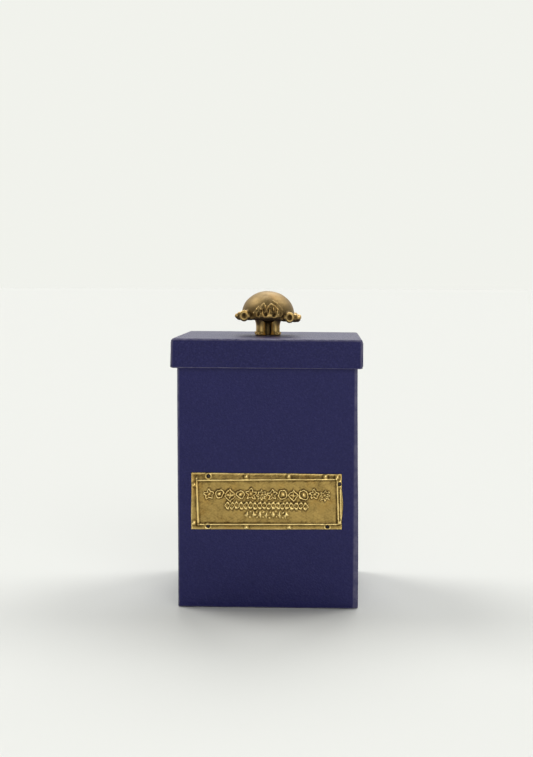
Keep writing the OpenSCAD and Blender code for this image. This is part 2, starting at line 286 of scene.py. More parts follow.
BODY_HIDE = leather("body_hide", 0.8)
LID_HIDE = leather("lid_hide", 1.3, bloom=0.07)
FINISHES = {
    "leather": BODY_HIDE,
    "greyboard": greyboard(),
    "suede_lining": suede(),
    "base_cloth": felt(),
    "plaque_brass": brass("plaque_sheet", (1.0, 0.76, 0.31), (0.455, 0.312, 0.098), (0.085, 0.053, 0.018),
                          0.3, scratch=0.9),
    "knob_brass": brass("knob_casting", (0.71, 0.485, 0.175), (0.31, 0.213, 0.085), (0.085, 0.055, 0.024),
                        0.39),
    "pin_steel": steel("pin_steel", (0.055, 0.05, 0.055), (0.02, 0.018, 0.02), 0.28),
    "tinplate": tinplate(),
    "sifter_brass": gilt(),
    "screw_steel": steel("screw_steel", (0.48, 0.48, 0.46), (0.34, 0.33, 0.31), 0.3),
}
for part in frame["record"]["subparts"]:
    slots = frame["nodes"][part["node"]].data.materials
    slots.clear()
    slots.append(FINISHES[part["material_slot"]])


# ---------------------------------------------------------------- making pieces

def piece_from(name, points, faces, finish, attributes=None):
    """A smooth mesh object from points in millimetres."""
    mesh = bpy.data.meshes.new(name)
    mesh.from_pydata((np.asarray(points) * MM).tolist(), [], np.asarray(faces).tolist())
    mesh.shade_smooth()
    for label, values in (attributes or {}).items():
        mesh.attributes.new(label, "FLOAT", "POINT").data.foreach_set("value", np.asarray(values, np.float32))
    mesh.materials.append(finish)
    piece = bpy.data.objects.new(name, mesh)
    bpy.context.scene.collection.objects.link(piece)
    return piece


def points_of(piece):
    """The piece's points, in millimetres."""
    co = np.empty(len(piece.data.vertices) * 3)
    piece.data.vertices.foreach_get("co", co)
    return co.reshape(-1, 3) / MM


def move_points(piece, points):
    piece.data.vertices.foreach_set("co", (points * MM).ravel())
    piece.data.update()


def normals_of(piece):
    normals = np.empty(len(piece.data.vertices) * 3)
    piece.data.vertices.foreach_get("normal", normals)
    return normals.reshape(-1, 3)


def face_outward(piece):
    """Turns a closed mesh right side out, by the sign of its volume."""
    mesh = piece.data
    mesh.calc_loop_triangles()
    corners = np.empty(len(mesh.loop_triangles) * 3, np.int32)
    mesh.loop_triangles.foreach_get("vertices", corners)
    a, b, c = points_of(piece)[corners.reshape(-1, 3)].transpose(1, 0, 2)
    if np.einsum("ij,ij->", a, np.cross(b, c)) < 0:
        mesh.flip_normals()


def baked(holder, tree, settings, name):
    """Runs a node tree on holder with its named inputs set, and keeps the result as a plain mesh piece."""
    modifier = holder.modifiers.new("nodes", "NODES")
    modifier.node_group = tree
    for item in tree.interface.items_tree:
        if item.in_out == "INPUT" and item.name in settings:
            modifier[item.identifier] = settings[item.name]
    evaluated = holder.evaluated_get(bpy.context.evaluated_depsgraph_get())
    mesh = bpy.data.meshes.new_from_object(evaluated)
    holder.modifiers.remove(modifier)
    bpy.data.objects.remove(holder)
    mesh.name = name
    piece = bpy.data.objects.new(name, mesh)
    bpy.context.scene.collection.objects.link(piece)
    return piece


def new_geometry_tree(name, inputs):
    """A geometry tree with the named inputs; returns it, its builder and its input and output nodes."""
    tree = bpy.data.node_groups.new(name, "GeometryNodeTree")
    tree.interface.new_socket("Geometry", in_out="INPUT", socket_type="NodeSocketGeometry")
    for label, kind in inputs.items():
        tree.interface.new_socket(label, in_out="INPUT", socket_type="NodeSocket" + kind)
    tree.interface.new_socket("Geometry", in_out="OUTPUT", socket_type="NodeSocketGeometry")
    build = Tree(tree)
    return tree, build, build("NodeGroupInput").outputs, build("NodeGroupOutput")


def closed_sheet(front, back):
    """Points and faces of a closed slab between two matching grids of points."""
    index = np.arange(front.shape[0] * front.shape[1]).reshape(front.shape[:2])
    quads = np.stack([index[:-1, :-1], index[1:, :-1], index[1:, 1:], index[:-1, 1:]], -1).reshape(-1, 4)
    outline = np.concatenate([index[:, 0], index[-1, 1:], index[-2::-1, -1], index[0, -2:0:-1]])
    following = np.roll(outline, -1)
    behind = index.size
    walls = np.stack([outline, outline + behind, following + behind, following], -1)
    points = np.concatenate([front.reshape(-1, 3), back.reshape(-1, 3)])
    return points, np.concatenate([quads, walls, quads[:, ::-1] + behind])


def smooth_step(value, low, high):
    t = np.clip((value - low) / (high - low), 0, 1)
    return t * t * (3 - 2 * t)


# ---------------------------------------------------------------- leather skins

def wrap_tree():
    """Carries a closed section round a square with rounded corners.

    The section's points hold how far in from the outer face they lie (X), how much of the ripple they
    take (Y) and their height (Z). Each ring keeps its sides straight and its corners round, whatever
    its inset, so the inside of a thick wall closes up without crossing itself.
    """
    tree, add, given, out = new_geometry_tree("wrap", {
        "Half width": "Float", "Corner radius": "Float", "Inner radius": "Float", "Side cuts": "Int",
        "Ripple": "Float", "Ripple size": "Float", "Ripple seed": "Float", "Hide": "Material"})

    def vector(how, a, b):
        return add("ShaderNodeVectorMath", {0: a, 1: b}, operation=how).outputs[0]

    def scaled(a, amount):
        return add("ShaderNodeVectorMath", {0: a, "Scale": amount}, operation="SCALE").outputs[0]

    def captured(geometry):
        node = add("GeometryNodeCaptureAttribute", {0: geometry})
        node.capture_items.new("VECTOR", "place")
        add.feed(node.inputs[1], add("GeometryNodeInputPosition"))
        return node.outputs[0], node.outputs[1]

    calc = add.math
    width = calc("MULTIPLY", given["Half width"], 2.0)
    square = add("GeometryNodeCurvePrimitiveQuadrilateral", {"Width": width, "Height": width})
    cut = add("GeometryNodeSubdivideCurve", {"Curve": square, "Cuts": given["Side cuts"]})
    rounded = add("GeometryNodeFilletCurve", {"Curve": cut, "Count": 6, "Radius": given["Corner radius"]},
                  mode="POLY")
    rail, rail_place = captured(rounded.outputs[0])
    strip = add("GeometryNodeMeshToCurve", {"Mesh": given["Geometry"]})
    section, section_place = captured(strip.outputs[0])
    swept = add("GeometryNodeCurveToMesh", {"Curve": rail, "Profile Curve": section})

    side = calc("SUBTRACT", given["Half width"], given["Corner radius"])
    limit = add("ShaderNodeCombineXYZ", {0: side, 1: side, 2: 0.0}).outputs[0]
    core = vector("MINIMUM", vector("MAXIMUM", rail_place, scaled(limit, -1.0)), limit)
    away = add("ShaderNodeVectorMath", {0: vector("SUBTRACT", rail_place, core)},
               operation="NORMALIZE").outputs[0]
    split = add("ShaderNodeSeparateXYZ", {0: section_place}).outputs
    radius = calc("MAXIMUM", calc("SUBTRACT", given["Corner radius"], split[0]), given["Inner radius"])
    reach = calc("SUBTRACT", calc("SUBTRACT", given["Half width"], split[0]), radius)
    ring = vector("ADD", scaled(core, calc("DIVIDE", reach, side)), scaled(away, radius))
    lifted = add("ShaderNodeCombineXYZ", {2: split[2]}).outputs[0]
    placed = add("GeometryNodeSetPosition", {"Geometry": swept, "Position": vector("ADD", ring, lifted)})
    merged = add("GeometryNodeMergeByDistance", {"Geometry": placed, "Distance": 0.002 * MM})

    askew = add("ShaderNodeVectorRotate", {"Vector": add("GeometryNodeInputPosition"), "Rotation": ASKEW},
                rotation_type="EULER_XYZ")
    waves = add("ShaderNodeTexNoise", {"Vector": askew, "W": given["Ripple seed"], "Detail": 2.0,
                                       "Scale": calc("DIVIDE", 1.0, given["Ripple size"])},
                noise_dimensions="4D").outputs[0]
    swell = calc("MULTIPLY", calc("MULTIPLY", calc("SUBTRACT", waves, 0.5), given["Ripple"]), split[1])
    rippled = add("GeometryNodeSetPosition",
                  {"Geometry": merged, "Offset": scaled(add("GeometryNodeInputNormal"), swell)})
    shaded = add("GeometryNodeSetShadeSmooth", {"Geometry": rippled})
    whole = add("GeometryNodeRealizeInstances", {"Geometry": shaded})
    coated = add("GeometryNodeSetMaterial", {"Geometry": whole, "Material": given["Hide"]})
    add.feed(out.inputs[0], coated)
    return tree


def line(start, end, pitch):
    """Points from start up to, but not including, end, about pitch apart."""
    start, end = np.array(start, float), np.array(end, float)
    count = max(1, round(np.linalg.norm(end - start) / pitch))
    return [tuple(start + (end - start) * i / count) for i in range(count)]


def bend(centre, radius, start, end, count=6):
    """Points on an arc between two angles in degrees, in the section's inset and height."""
    angles = np.radians(np.linspace(start, end, count + 1))
    return [(centre[0] - radius * math.cos(a), centre[1] + radius * math.sin(a)) for a in angles]


def section_holder(outer, inner):
    """The closed section as a strip of edges; only its outer points take the ripple."""
    points = [(d, 1.0, z) for d, z in outer] + [(d, 0.0, z) for d, z in inner]
    mesh = bpy.data.meshes.new("section")
    mesh.from_pydata([(d * MM, ripple, z * MM) for d, ripple, z in points],
                     [(i, (i + 1) % len(points)) for i in range(len(points))], [])
    holder = bpy.data.objects.new("section", mesh)
    bpy.context.scene.collection.objects.link(holder)
    return holder


def mark_wear(piece):
    """1 where the surface turns over an edge and 0 on the flats: it marks worn leather and the painted edge
    highlight.
    """
    flatness = np.abs(normals_of(piece)).max(1)
    wear = smooth_step(1 - flatness, 0.002, 0.1)
    piece.data.attributes.new("wear", "FLOAT", "POINT").data.foreach_set("value", wear.astype(np.float32))


WRAP = wrap_tree()
HEM_DROP = 0.5                              # how far the leather sags under the body, towards the table
BULGE_HIGH, BULGE_LOW = 0.3, 0.95           # fullness of the body's right side at the rim, and more low down
DRAWN_IN = 0.38                             # how far the body's left side is drawn in at the bottom
LID_SLOPE = 0.0042                          # fall of the lid to the right
LID_SPRING = 0.45                           # how far the lid's skirt stands off at the left
LAP_WIDTH, LAP_EDGE = 8.5, 0.7              # the lid's laps, and the width pared thin along a lap's edge


def body_skin():
    """Leather up the outside, over the rim and down inside, and turned in under the base.

    Each line's last number is the pitch of its points.
    """
    under, rim = BODY_LO[2] - HEM_DROP, BODY_HI[2]
    edge, lip = 0.7, 1.25
    wall = BODY_HALF - LINING_HI[0] + HIDE       # inset of the turned-in leather's inner face
    turned = LINING_HI[2] + 0.1
    tuck = BODY_HALF - INFILL_HI[0] - 0.5
    outer = line((tuck, under), (edge, under), 2.5)
    outer += bend((edge, under + edge), edge, -90, 0)
    outer += line((0, under + edge), (0, rim - lip), 2.2)[1:]
    outer += bend((lip, rim - lip), lip, 0, 90)
    outer += bend((wall - lip, rim - lip), lip, 90, 180)
    inner = line((wall, rim - lip - 1), (wall, turned), 2.5)
    inner += bend((wall - HIDE / 2, turned), HIDE / 2, 180, 360, 4)
    inner += line((wall - HIDE, turned + 1), (wall - HIDE, rim - HIDE), 2.5)
    inner += line((wall - HIDE, rim - HIDE), (HIDE, rim - HIDE), 2)
    inner += line((HIDE, rim - HIDE), (HIDE, under + HIDE), 4)
    inner += line((HIDE, under + HIDE), (tuck, under + HIDE), 2.5)
    inner += [(tuck, under + HIDE)]
    holder = section_holder(outer, inner)
    piece = baked(holder, WRAP, {
        "Half width": BODY_HALF * MM, "Corner radius": 1.5 * MM, "Inner radius": 0.3 * MM, "Side cuts": 35,
        "Ripple": 0.16 * MM, "Ripple size": 22 * MM, "Ripple seed": 1.0, "Hide": BODY_HIDE}, "body_skin")
    face_outward(piece)
    settle_body(piece)
    mark_wear(piece)
    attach(piece, "box")
    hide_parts("body_leather")


def settle_body(piece):
    """The hand-made body is a little fuller low down on its right and drawn in on its left."""
    points = points_of(piece)
    x, down = points[:, 0], (BODY_HI[2] - points[:, 2]) / BODY_HI[2]
    bulge = BULGE_HIGH + BULGE_LOW * smooth_step(down, 0.05, 0.9)
    points[:, 0] += np.where(x > BODY_HALF - HIDE / 2, bulge, 0)
    points[:, 0] += np.where(x < HIDE / 2 - BODY_HALF, DRAWN_IN * smooth_step(down, 0.1, 1.0), 0)
    move_points(piece, points)


def lid_skin():
    """Leather over the lid's board and skirt, and turned up inside the skirt."""
    top, hem = LID_TOP, LID_LO[2]
    edge, fold = 1.2, 0.45
    strip_in = LID_HALF - HIDE + STRIP_LO[1] - LID_LO[1] - HIDE
    skirt = LID_HALF - abs(SKIRT_LINING_LO[0])       # inset of the skirt cards' inner face
    liner = skirt + 0.4
    turned = SKIRT_LINING_LO[2] - 0.1
    middle = strip_in - 3.4 + HIDE
    outer = line((middle, top), (edge, top), 1.6)
    outer += bend((edge, top - edge), edge, 90, 0)
    outer += line((0, top - edge), (0, hem + fold), 1.2)[1:]
    outer += bend((fold, hem + fold), fold, 0, -90)
    inner = [(liner - 0.35, hem), (liner, hem + 0.35)]
    inner += line((liner, hem + 0.8), (liner, turned), 1.5)
    inner += [(liner, turned), (skirt, turned)]
    inner += line((skirt, turned - 0.5), (skirt, hem + HIDE), 1.5)
    inner += line((skirt, hem + HIDE), (HIDE, hem + HIDE), 1)
    inner += line((HIDE, hem + HIDE), (HIDE, top - HIDE), 2.5)
    inner += line((HIDE, top - HIDE), (middle, top - HIDE), 3)
    inner += [(middle, top - HIDE)]
    holder = section_holder(outer, inner)
    piece = baked(holder, WRAP, {
        "Half width": LID_HALF * MM, "Corner radius": 1.4 * MM, "Inner radius": 0.3 * MM, "Side cuts": 35,
        "Ripple": 0.16 * MM, "Ripple size": 16 * MM, "Ripple seed": 7.0, "Hide": LID_HIDE}, "lid_skin")
    face_outward(piece)
    settle_lid(piece)
    mark_wear(piece)
    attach(piece, "lid")
    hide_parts("lid_leather")


def settle_lid(piece):
    """The lid as it sits: a hair lower on the right, its skirt sprung out on the left."""
    points = points_of(piece)
    x, height = points[:, 0], points[:, 2]
    outside = np.maximum(np.abs(points[:, 0]), np.abs(points[:, 1])) > LID_HALF - HIDE / 2
    outside |= height > LID_TOP - HIDE / 2
    points[:, 2] -= np.where(outside, LID_SLOPE * x, 0)
    drop = np.clip((LID_TOP - height) / (LID_TOP - LID_LO[2]), 0, 1)
    sprung = outside & (x < -LID_HALF + 2)
    points[:, 0] -= np.where(sprung, LID_SPRING * drop, 0)
    move_points(piece, points)


def flap(name, finish, body, out, along, low, high, lean=0.0, thick=0.28):
    """Leather lapped over and glued flat on an upright face, its edges pared thin.

    out is the face's direction as (x, y) times its distance from the middle; along is the flap's two
    sides, measured leftwards round the box; low and high are its ends.
    """
    across, up = (max(8, round(abs(b - a) / 0.3)) for a, b in (along, (low, high)))
    u, v = np.meshgrid(np.linspace(0, 1, across + 1), np.linspace(0, 1, up + 1), indexing="ij")
    side = along[0] + (along[1] - along[0]) * u + lean * (v - 0.5)
    height = low + (high - low) * v
    edge = np.minimum(np.minimum(u, 1 - u) * abs(along[1] - along[0]), np.minimum(v, 1 - v) * (high - low))
    rise = thick * smooth_step(edge, 0, LAP_EDGE) - 0.05
    reach = math.hypot(*out)
    nx, ny = out[0] / reach, out[1] / reach

    def layer(depth):
        return np.stack([nx * (reach + depth) - ny * side, ny * (reach + depth) + nx * side, height], -1)

    points, faces = closed_sheet(layer(rise), layer(np.full_like(rise, -0.25)))
    # Pale along the pared edges, in the same attribute that carries the painted edge highlight.
    wear = np.concatenate([0.2 * (1 - smooth_step(edge, 0.1, 0.8)).ravel(), np.zeros(rise.size)])
    piece = piece_from(name, points, faces, finish, {"wear": wear})
    face_outward(piece)
    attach(piece, body)


def laps():
    """The front and back leather of the lid is turned round its corners; the body's wrap laps at the back."""
    inset = LID_HALF - 0.9
    for side, out in (("left", (-LID_HALF, 0)), ("right", (LID_HALF, 0))):
        for end in (-1, 1):
            flap("lid_lap_%s_%d" % (side, end + 2), LID_HIDE, "lid", out,
                 (end * inset, end * (inset - LAP_WIDTH)), LID_LO[2] + 0.6, LID_TOP - 1.1, lean=-0.9 * end)
    flap("body_lap", BODY_HIDE, "box", (0, BODY_HALF), (-BODY_HALF + 8, -BODY_HALF + 20),
         BODY_LO[2] + 1.6, BODY_HI[2] - 1.6, thick=0.2)


# ---------------------------------------------------------------- plaque

PLAQUE_X = (PLAQUE_LO[0] + PLAQUE_HI[0]) / 2
PLAQUE_Z = (PLAQUE_LO[2] + PLAQUE_HI[2]) / 2
PLAQUE_W = PLAQUE_HI[0] - PLAQUE_LO[0]
PLAQUE_H = PLAQUE_HI[2] - PLAQUE_LO[2]
SHEET = 0.5                                 # height of the plaque's plain face over the leather
# Places on the plaque, from its middle
PINS = [(-26.0, 11.3), (-26.2, -11.2), (27.2, -11.0), (32.6, 8.2)]
BOSSES = [(-9.1, 11.2), (9.9, 11.4), (26.2, 11.5), (31.4, 11.2), (-32.3, 7.4),
          (-32.5, -9.9), (-9.0, -11.7), (10.1, -11.5), (32.7, -9.0)]
# Raised frame lines: start, end, height and width
FRAME_LINES = [((-30.9, 9.4), (31.0, 10.3), 0.58, 0.40), ((-31.2, 10.4), (-30.5, -10.5), 0.68, 0.45),
               ((-30.6, -10.5), (31.6, -9.8), 0.58, 0.40), ((31.4, 9.5), (32.2, -9.6), 0.62, 0.40),
               ((32.9, 5.8), (33.2, -9.6), 0.42, 0.36)]
# Rows of ornament: height on the plaque, first place, spacing and number
STAR_ROW = (3.15, -25.7, 4.7, 12)
PLAIT_ROW = (-1.8, -17.43, 2.05, 18)
STUD_ROW = (-5.9, -8.7, 2.9, 7)


def to_segment(x, z, start, end):
    """Distance from each point to a straight line between two places."""
    sx, sz = end[0] - start[0], end[1] - start[1]
    t = np.clip(((x - start[0]) * sx + (z - start[1]) * sz) / (sx * sx + sz * sz), 0, 1)
    return np.hypot(x - start[0] - t * sx, z - start[1] - t * sz)


def ridge(distance, width):
    """A round-topped ridge, 1 high on its line."""
    return np.exp(-(distance / width) ** 2)


def beaten(distance, width, height):
    """A raised line with a groove beaten down along each side of it."""
    return height * (1.2 * ridge(distance, width) - 0.34 * ridge(distance - 2.0 * width, 0.7 * width))


def star(x, z, centre, radius, points, inner=0.45):
    """Distance to the outline of a star, good near its line."""
    dx, dz = x - centre[0], z - centre[1]
    angle = np.arctan2(dx, dz) * points / (2 * math.pi)
    swing = np.abs(angle - np.round(angle)) * 2
    return np.abs(np.hypot(dx, dz) - radius * (1 - (1 - inner) * swing)) * 0.8


def ornament(x, z):
    """Three rows of beaten ornament: stars, lozenges and bossed rings; a plait; diamond studs and pearls."""
    x, z = (x + 0.2 * np.sin(1.7 * z + 0.8 * x) + 0.12 * np.sin(3.1 * x),
            z + 0.17 * np.sin(1.1 * x + 0.5) + 0.1 * np.sin(2.9 * x + 1.3 * z))
    height = np.zeros_like(x)
    level, first, pitch, count = STAR_ROW
    for i in range(count):
        centre = (first + i * pitch, level + 0.3 * math.sin(2.1 * i))
        away = np.hypot(x - centre[0], z - centre[1])
        size = 2.4 + 0.22 * math.sin(3.7 * i)
        kind = (0, 1, 2, 1, 0, 3)[i % 6]
        if kind == 1:
            mark = beaten(np.abs(away - 0.76 * size), 0.27, 0.4) + 0.4 * ridge(away, 0.72)
        elif kind == 2:
            lozenge = np.abs(np.abs(x - centre[0]) + 0.9 * np.abs(z - centre[1]) - size) * 0.72
            cross = np.minimum(np.abs(x - centre[0]), np.abs(z - centre[1]))
            mark = beaten(lozenge, 0.28, 0.4) + np.where(away < 0.7 * size, 0.26 * ridge(cross, 0.3), 0)
        else:
            mark = beaten(star(x, z, centre, size, 5 + kind), 0.27, 0.4) + 0.3 * ridge(away, 0.5)
        height += np.where(np.abs(x - centre[0]) < pitch / 2, mark, 0)
    level, first, pitch, count = PLAIT_ROW
    within = smooth_step(19.0 - np.abs(x), 0, 0.7)
    for phase in (0, math.pi):
        strand = np.abs(z - level - 1.25 * np.sin(x * math.pi / pitch + phase)) * 0.52
        height += within * beaten(strand, 0.27, 0.34)
    for i in range(count):
        eye = np.hypot(x - first - i * pitch, z - level)
        height += within * 0.34 * ridge(eye, 0.42)
    level, first, pitch, count = STUD_ROW
    for i in range(count):
        dx, dz = x - first - i * pitch, z - level - 0.15 * math.sin(1.9 * i)
        height += 0.6 * np.clip(1.1 - np.abs(dx) / 1.3 - np.abs(dz) / 1.75, 0, 1)
        if i < count - 1:
            for rise in (-1.15, 1.15):
                height += 0.3 * ridge(np.hypot(dx - pitch / 2, dz - rise), 0.34)
    return height


def relief(x, z):
    """Height of the plaque's face over its back, at places measured from its middle."""
    height = np.full_like(x, SHEET)
    height += 0.05 * np.sin(x * 0.21 + 1) * np.cos(z * 0.33) + 0.03 * np.sin(x * 0.83 + z * 0.6)
    height += 0.022 * np.sin(2.3 * x + 1.7 * np.sin(1.9 * z)) * np.sin(2.6 * z + 1.2 * np.sin(1.4 * x))
    for start, end, tall, wide in FRAME_LINES:
        along = x if abs(end[0] - start[0]) > abs(end[1] - start[1]) else z
        gap = to_segment(x, z, start, end) + 0.05 * np.sin(along * 0.9 + start[0])
        height += tall * ridge(gap, wide)
    inside = (np.abs(x - 0.3) < 31.2) & (np.abs(z) < 10.0)
    edge = np.minimum(31.2 - np.abs(x - 0.3), 10.0 - np.abs(z))
    height -= np.where(inside, 0.09 * np.exp(-((edge - 0.35) / 0.35) ** 2), 0)
    for centre in BOSSES:
        away = np.maximum(np.abs(x - centre[0]), np.abs(z - centre[1])) * 0.5
        away += 0.5 * np.hypot(x - centre[0], z - centre[1])
        height += 0.5 * ridge(away, 0.8) - 0.08 * ridge(away - 1.35, 0.35)
    for centre in PINS:
        away = np.hypot(x - centre[0], z - centre[1])
        height += 0.24 * ridge(away - 1.2, 0.36) - 0.3 * ridge(away, 0.7)
    return height + ornament(x, z)


def blurred(field, passes):
    """The field smoothed by short averages along each of its axes."""
    for _ in range(passes):
        for axis in range(field.ndim):
            field = (np.roll(field, 1, axis) + 2 * field + np.roll(field, -1, axis)) / 4
    return field


def plaque_sheet():
    """Thin embossed sheet, cut by hand: its outline wanders and its edges are worn round."""
    step = 0.2
    across = round(PLAQUE_W / step)
    up = round(PLAQUE_H / step)
    u, v = np.meshgrid(np.linspace(-1, 1, across + 1), np.linspace(-1, 1, up + 1), indexing="ij")
    half_w, half_h = PLAQUE_W / 2, PLAQUE_H / 2
    left = -half_w + 0.1 + 0.1 * v + 0.07 * np.sin(v * 5)
    right = half_w - 0.25 - 0.1 * v + 0.55 * np.exp(-((v + 0.1) / 0.45) ** 2)
    x = left + (right - left) * (u + 1) / 2
    bottom = -half_h + 0.3 * (u + 1) - 0.12 * np.exp(-((u - 0.1) / 0.35) ** 2)
    top = half_h - 0.02 - 0.05 * (u + 1) + 0.05 * np.sin(u * 6)
    z = bottom + (top - bottom) * (v + 1) / 2
    height = relief(x, z)
    rim = np.minimum(np.minimum(x - left, right - x), np.minimum(z - bottom, top - z))
    rounding = np.sqrt(np.clip(1 - (1 - np.clip(rim / 0.45, 0, 1)) ** 2, 0, 1))
    height = 0.12 + (height - 0.12) * rounding
    near, wide = height - blurred(height, 14), height - blurred(height, 60)
    proud = 0.36 + np.where(near > 0, 3.3, 1.2) * near + 0.3 * wide
    # Painted shade along the plaque's top edge.
    proud -= 0.14 * smooth_step(z, 10.6, 11.6)
    proud = np.where(rim < 0.4, 0.72, proud)

    def face(depth):
        return np.stack([x + PLAQUE_X, FACE_Y - depth, z + PLAQUE_Z], -1)

    points, faces = closed_sheet(face(height), face(np.full_like(height, -0.02)))
    shine = np.concatenate([proud.ravel(), np.full(proud.size, 0.3)])
    piece = piece_from("plaque_sheet", points, faces, FINISHES["plaque_brass"],
                       {"proud": np.clip(shine, 0, 1)})
    face_outward(piece)
    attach(piece, "box")
    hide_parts("plaque")


def pin_tree():
    """Sets a low domed pin, its shank behind it, at each point."""
    tree, add, given, out = new_geometry_tree("pins", {
        "Head radius": "Float", "Head height": "Float", "Shank radius": "Float", "Shank length": "Float",
        "Steel": "Material"})
    ball = add("GeometryNodeMeshUVSphere", {"Segments": 20, "Rings": 12, "Radius": 1.0})
    size = add("ShaderNodeCombineXYZ", {0: given["Head radius"], 1: given["Head radius"],
                                        2: given["Head height"]})
    head = add("GeometryNodeTransform", {"Geometry": ball, "Scale": size})
    shank = add("GeometryNodeMeshCylinder", {"Vertices": 16, "Radius": given["Shank radius"],
                                             "Depth": given["Shank length"]})
    sunk = add("ShaderNodeCombineXYZ", {2: add.math("MULTIPLY", given["Shank length"], -0.5)})
    placed = add("GeometryNodeTransform", {"Geometry": shank.outputs[0], "Translation": sunk})
    pin = add("GeometryNodeJoinGeometry")
    for source in (head, placed):
        tree.links.new(source.outputs[0], pin.inputs[0])
    dots = add("GeometryNodeMeshToPoints", {"Mesh": given["Geometry"]})
    turn = add("FunctionNodeEulerToRotation", {0: (math.pi / 2, 0, 0)})
    pins = add("GeometryNodeInstanceOnPoints", {"Points": dots, "Instance": pin, "Rotation": turn})
    whole = add("GeometryNodeRealizeInstances", {"Geometry": pins})
    shaded = add("GeometryNodeSetShadeSmooth", {"Geometry": whole})
    add.feed(out.inputs[0], add("GeometryNodeSetMaterial", {"Geometry": shaded, "Material": given["Steel"]}))
    return tree


def plaque_pins():
    mesh = bpy.data.meshes.new("pin_places")
    mesh.from_pydata([((x + PLAQUE_X) * MM, (FACE_Y - SHEET - 0.02) * MM, (z + PLAQUE_Z) * MM)
                      for x, z in PINS], [], [])
    holder = bpy.data.objects.new("pin_places", mesh)
    bpy.context.scene.collection.objects.link(holder)
    piece = baked(holder, pin_tree(), {
        "Head radius": 0.8 * MM, "Head height": 0.42 * MM, "Shank radius": 0.42 * MM,
        "Shank length": 2.3 * MM, "Steel": FINISHES["pin_steel"]}, "pins")
    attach(piece, "box")
    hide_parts("plaque_pins")


# ---------------------------------------------------------------- cast knob

EMPTY = 6.0                                 # the distance kept where there is nothing near


class Clay:
    """A solid kept as distances on a grid, in millimetres, with shapes pressed on to it or cut out."""

    def __init__(self, low, high, step):
        self.low, self.step = np.array(low, float), step
        counts = np.ceil((np.array(high) - self.low) / step).astype(int) + 1
        self.axes = [self.low[i] + step * np.arange(counts[i]) for i in range(3)]
        self.field = np.full(counts, EMPTY, np.float32)

    def near(self, shape, margin):
        """The part of the grid round a shape, and its points as open axes."""
        window = []
        for axis, low, high in zip(self.axes, shape[1], shape[2]):
            first, last = np.searchsorted(axis, [low - margin, high + margin])
            window.append(slice(max(first - 1, 0), min(last + 1, len(axis))))
        x, y, z = (axis[cut] for axis, cut in zip(self.axes, window))
        return tuple(window), shape[0](x[:, None, None], y[None, :, None], z[None, None, :])

    def add(self, shape, soft=0.3):
        window, distance = self.near(shape, soft + 1.5)
        self.field[window] = melt(self.field[window], distance, soft)

    def cut(self, shape, soft=0.3):
        window, distance = self.near(shape, soft + 1.5)
        self.field[window] = -melt(-self.field[window], distance, soft)

    def surface(self):
        """One point in each cell that the surface crosses and one face over each crossed edge."""
        field = self.field
        solid = field < 0
        cells = [n - 1 for n in field.shape]
        corner = list(np.ndindex(2, 2, 2))
        at = lambda grid, c: grid[c[0]:c[0] + cells[0], c[1]:c[1] + cells[1], c[2]:c[2] + cells[2]]
        filled = sum(at(solid, c).astype(np.int8) for c in corner)
        active = (filled > 0) & (filled < 8)
        cell = np.argwhere(active)
        number = np.full(cells, -1)
        number[active] = np.arange(len(cell))
        total, crossings = np.zeros(cell.shape), np.zeros(len(cell))
        for a in corner:
            for axis in range(3):
                if a[axis]:
                    continue
                b = tuple(c + (i == axis) for i, c in enumerate(a))
                fa, fb = field[tuple((cell + a).T)], field[tuple((cell + b).T)]
                crossed = (fa < 0) != (fb < 0)
                t = np.where(crossed, fa / np.where(crossed, fa - fb, 1), 0)
                spot = np.array(a) + t[:, None] * (np.array(b) - np.array(a))
                total += np.where(crossed[:, None], spot, 0)
                crossings += crossed
        spots = cell + total / crossings[:, None]
        faces = []
        for axis in range(3):
            first = [slice(1, -1)] * 3
            second = list(first)
            first[axis], second[axis] = slice(0, -1), slice(1, None)
            crossed = solid[tuple(first)] != solid[tuple(second)]
            edge = np.argwhere(crossed) + [0 if i == axis else 1 for i in range(3)]
            u, v = [step for i, step in enumerate(np.eye(3, dtype=int)) if i != axis]
            round_it = [number[tuple((edge - shift).T)] for shift in (u + v, v, 0 * u, u)]
            quad = np.stack(round_it, -1)
            flip = solid[tuple(edge.T)] ^ (axis == 1)
            faces.append(np.where(flip[:, None], quad, quad[:, ::-1]))
        return spots, np.concatenate(faces)

    def sampled(self, grid, spots):
        """A grid's values at places between its points."""
        base = np.clip(np.floor(spots).astype(int), 0, np.array(grid.shape) - 2)
        part = spots - base
        value = 0
        for corner in np.ndindex(2, 2, 2):
            weight = np.prod(np.abs(1 - np.array(corner) - part), axis=1)
            value = value + weight * grid[tuple((base + corner).T)]
        return value


def melt(a, b, soft):
    """The nearer of two distances, run together over soft millimetres."""
    mixed = np.clip(0.5 + 0.5 * (b - a) / soft, 0, 1)
    return b + (a - b) * mixed - soft * mixed * (1 - mixed)


def bead(centre, radii):
    """An egg with the given three radii."""
    centre, radii = np.array(centre, float), np.ones(3) * radii

    def distance(x, y, z):
        px, py, pz = (x - centre[0]) / radii[0], (y - centre[1]) / radii[1], (z - centre[2]) / radii[2]
        near = np.sqrt(px * px + py * py + pz * pz)
        slope = np.sqrt((px / radii[0]) ** 2 + (py / radii[1]) ** 2 + (pz / radii[2]) ** 2)
        return near * (near - 1) / np.maximum(slope, 1e-6)
    return distance, centre - radii, centre + radii


def rod(start, end, first, last):
    """A round bar between two places whose radius runs from first to last."""
    start, end = np.array(start, float), np.array(end, float)
    along = end - start

    def distance(x, y, z):
        dx, dy, dz = x - start[0], y - start[1], z - start[2]
        t = np.clip((dx * along[0] + dy * along[1] + dz * along[2]) / (along @ along), 0, 1)
        gap = (dx - t * along[0]) ** 2 + (dy - t * along[1]) ** 2 + (dz - t * along[2]) ** 2
        return np.sqrt(gap) - first - (last - first) * t
    reach = max(first, last)
    return distance, np.minimum(start, end) - reach, np.maximum(start, end) + reach


